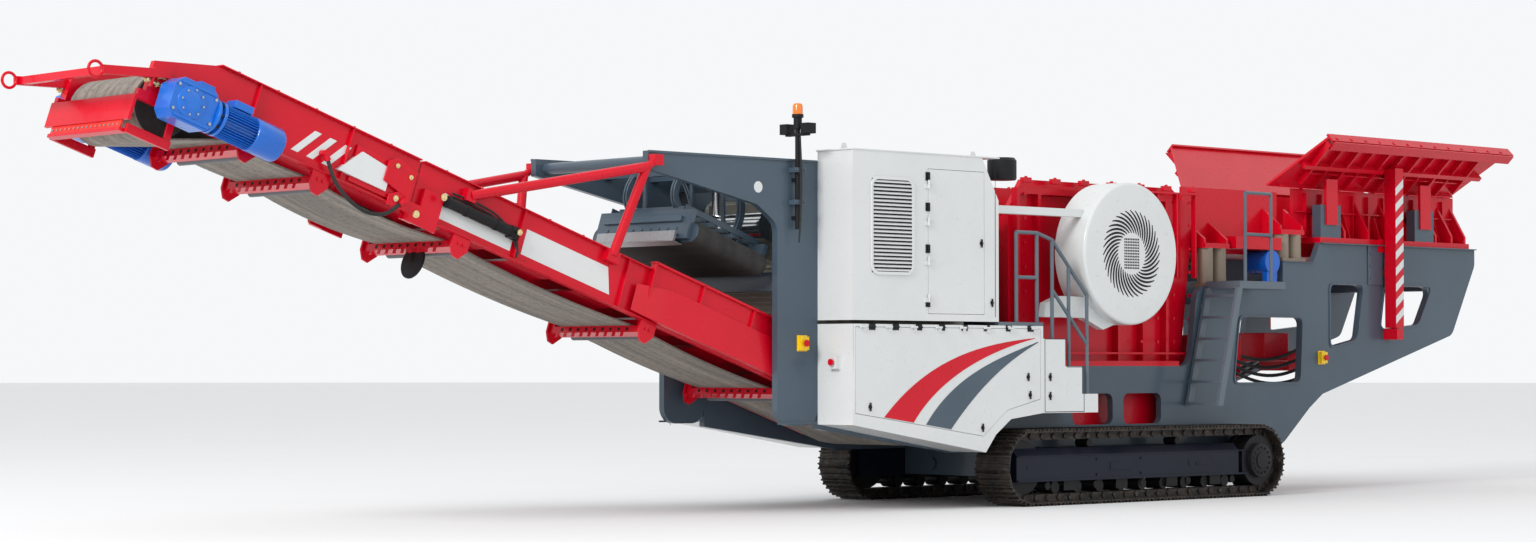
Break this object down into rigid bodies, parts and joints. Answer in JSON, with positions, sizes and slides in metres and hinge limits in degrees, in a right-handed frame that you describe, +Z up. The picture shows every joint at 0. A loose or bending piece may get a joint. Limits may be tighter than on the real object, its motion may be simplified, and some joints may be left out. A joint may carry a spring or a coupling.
{
  "type": "tracked jaw crusher plant",
  "caption": "Tracked jaw crusher plant with feed hopper, guarded jaw crusher, cabinets and a folding discharge conveyor under an overband magnet.",
  "frame": {"origin": "on the ground under the middle of the machine's overall box", "axes": "+Z up, +X towards the feed hopper, -X towards the conveyor head, -Y the side with the engine cabinet"},
  "size_m": [21.261, 3, 4.4554],
  "materials": {
    "red_paint": "gloss paint",
    "slate_paint": "satin paint",
    "white_paint": "gloss paint",
    "housing_paint": "satin paint, louvred",
    "navy_paint": "satin paint",
    "belt_rubber": "matt ribbed rubber, dusty",
    "track_steel": "worn dark steel",
    "blue_paint": "gloss paint",
    "bright_steel": "polished",
    "spring_rubber": "satin paint",
    "platform_paint": "satin paint",
    "black_paint": "satin paint",
    "drum_lagging": "grooved lagging",
    "hose_rubber": "matt"
  },
  "bodies": {
    "plant": {"track_chain_near": "track_steel", "track_chain_far": "track_steel", "track_beams": "navy_paint", "track_wheels": "black_paint", "cross_frame": "slate_paint", "portal_near": "slate_paint", "portal_far": "slate_paint", "main_beam_near": "slate_paint", "main_beam_far": "slate_paint", "cross_members": "slate_paint", "engine_cabinet": "white_paint", "pump_cabinet": "white_paint", "far_cabinet": "white_paint", "engine_housing": "housing_paint", "silencer": "bright_steel", "walkways": "platform_paint", "railings": "platform_paint", "crusher_sides": "red_paint", "crusher_jaws": "red_paint", "flywheel_guards": "white_paint", "feeder_trough": "red_paint", "feeder_springs": "spring_rubber", "vibrator": "blue_paint", "hopper_sides": "red_paint", "hopper_rear": "red_paint", "wing_props": "red_paint", "tail_stringers": "red_paint", "tail_crossbars": "red_paint", "tail_belt": "belt_rubber", "tail_lugs": "red_paint", "fold_cylinders": "black_paint", "conveyor_struts": "red_paint", "magnet_frame": "slate_paint", "magnet_belt": "belt_rubber", "beacon_mast": "black_paint"},
    "head_section": {"head_stringers": "red_paint", "head_frame": "red_paint", "head_belt": "belt_rubber", "head_drum": "drum_lagging", "gearmotors": "blue_paint", "fold_hoses": "hose_rubber"},
    "engine_door": {"engine_door": "white_paint"},
    "pump_flap": {"pump_flap": "white_paint"},
    "wing_near": {"wing_near": "red_paint"},
    "wing_far": {"wing_far": "red_paint"}
  },
  "joints": [
    {"name": "head_fold", "type": "hinge", "parent": "plant", "child": "head_section", "pos_m": [-7.175, 0, 3], "axis": [0, -1, 0], "range_deg": [0, 60]},
    {"name": "engine_door_hinge", "type": "hinge", "parent": "plant", "child": "engine_door", "pos_m": [-0.795, -1.487, 2.9], "axis": [0, 0, -1], "range_deg": [0, 110]},
    {"name": "pump_flap_hinge", "type": "hinge", "parent": "plant", "child": "pump_flap", "pos_m": [-0.5, -1.487, 1.975], "axis": [-1, 0, 0], "range_deg": [0, 85]},
    {"name": "wing_near_hinge", "type": "hinge", "parent": "plant", "child": "wing_near", "pos_m": [8.1, -0.65, 3.82], "axis": [-1, 0, 0], "range_deg": [0, 85]},
    {"name": "wing_far_hinge", "type": "hinge", "parent": "plant", "child": "wing_far", "pos_m": [8.1, 0.65, 3.82], "axis": [1, 0, 0], "range_deg": [0, 85]}
  ]
}
